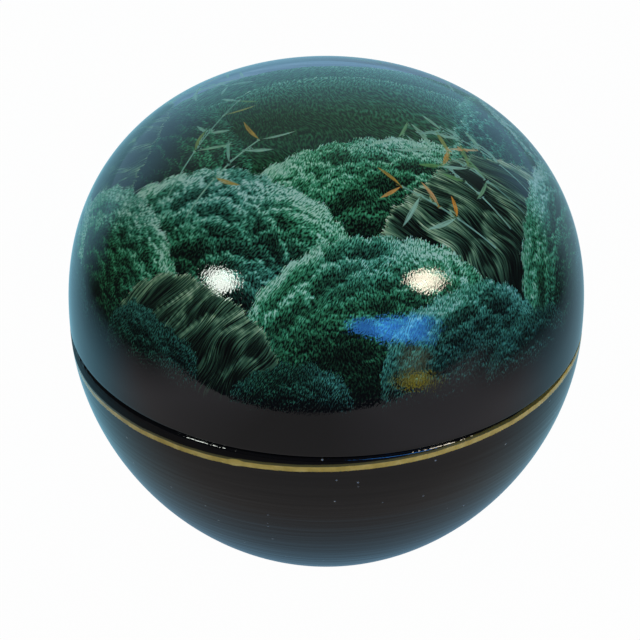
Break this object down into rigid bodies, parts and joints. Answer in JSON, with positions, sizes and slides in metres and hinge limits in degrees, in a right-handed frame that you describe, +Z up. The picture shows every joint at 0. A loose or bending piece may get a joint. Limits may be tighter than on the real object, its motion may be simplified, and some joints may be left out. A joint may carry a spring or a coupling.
{
  "type": "lacquer trinket box",
  "caption": "Round black lacquer trinket box: a bowl with a collar in its mouth and a domed painted lid that lifts straight off.",
  "frame": {"origin": "centre of the flat underside, on the plane that the box stands on", "axes": "+Z up along the box's axis of turning; -Y is the side of the lid that faces the viewer in the picture, +X to the viewer's right"},
  "size_m": [0.102, 0.102, 0.0961],
  "materials": {
    "black_lacquer": "brushed black lacquer, glossy",
    "rim_lacquer": "thick black lacquer, high gloss",
    "collar_lacquer": "thin black lacquer, satin",
    "painted_lacquer": "green painting on black lacquer under a clear glossy coat"
  },
  "bodies": {
    "bowl": {"bowl_shell": "black_lacquer", "bowl_rim_ring": "rim_lacquer", "locating_collar": "collar_lacquer"},
    "lid": {"lid_shell": "painted_lacquer"}
  },
  "joints": [
    {"name": "lid_lift", "type": "slide", "parent": "bowl", "child": "lid", "axis": [0, 0, 1], "range_m": [0, 0.07]}
  ]
}
